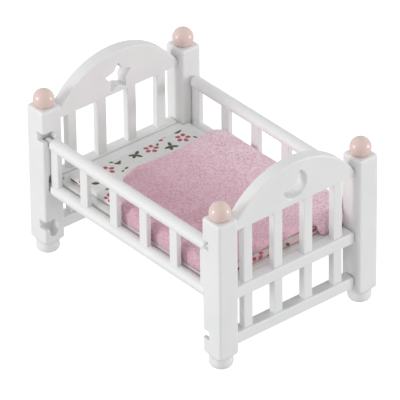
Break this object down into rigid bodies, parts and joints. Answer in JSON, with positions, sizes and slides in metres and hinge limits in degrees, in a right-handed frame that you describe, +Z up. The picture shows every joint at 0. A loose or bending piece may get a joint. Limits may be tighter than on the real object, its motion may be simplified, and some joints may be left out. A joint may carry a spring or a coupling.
{
  "type": "doll cot",
  "caption": "Miniature doll's-house cot: slatted ends with star and moon cut-outs, ball-topped posts, a side rail that lifts and folds down, mattress and blanket.",
  "frame": {"origin": "on the floor under the middle of the cot", "axes": "+X from the head end to the foot end, +Y from the folding rail to the fixed rail, +Z up"},
  "size_m": [0.09, 0.0616, 0.0604],
  "materials": {
    "white_plastic": "semi-gloss moulded plastic",
    "pink_plastic": "polished moulded plastic",
    "printed_cotton": "white cotton with small printed flowers and leaves",
    "wadding": "white polyester wadding",
    "pink_fleece": "brushed pink fleece"
  },
  "bodies": {
    "root": {"post_head_near": "white_plastic", "post_head_far": "white_plastic", "post_foot_near": "white_plastic", "post_foot_far": "white_plastic", "knob_head_near": "pink_plastic", "knob_head_far": "pink_plastic", "knob_foot_near": "pink_plastic", "knob_foot_far": "pink_plastic", "headboard_panel": "white_plastic", "footboard_panel": "white_plastic", "far_side_rail": "white_plastic", "bed_base": "white_plastic"},
    "rail_pivot": {"rail_pin_head": "white_plastic", "rail_pin_foot": "white_plastic"},
    "near_rail": {"near_side_rail": "white_plastic"},
    "mattress": {"mattress_cover": "printed_cotton", "mattress_pad": "wadding"},
    "blanket": {"blanket": "pink_fleece"}
  },
  "joints": [
    {"name": "near_rail_lift", "type": "slide", "parent": "root", "child": "rail_pivot", "axis": [0, 0, 1], "range_m": [0, 0.0028]},
    {"name": "near_rail_swing", "type": "hinge", "parent": "rail_pivot", "child": "near_rail", "pos_m": [0, -0.0276, 0.0238], "axis": [1, 0, 0], "range_deg": [0, 180]},
    {"name": "mattress_lift", "type": "slide", "parent": "root", "child": "mattress", "axis": [0, 0, 1], "range_m": [0, 0.03]},
    {"name": "blanket_lift", "type": "slide", "parent": "mattress", "child": "blanket", "axis": [0, 0, 1], "range_m": [0, 0.03]}
  ]
}
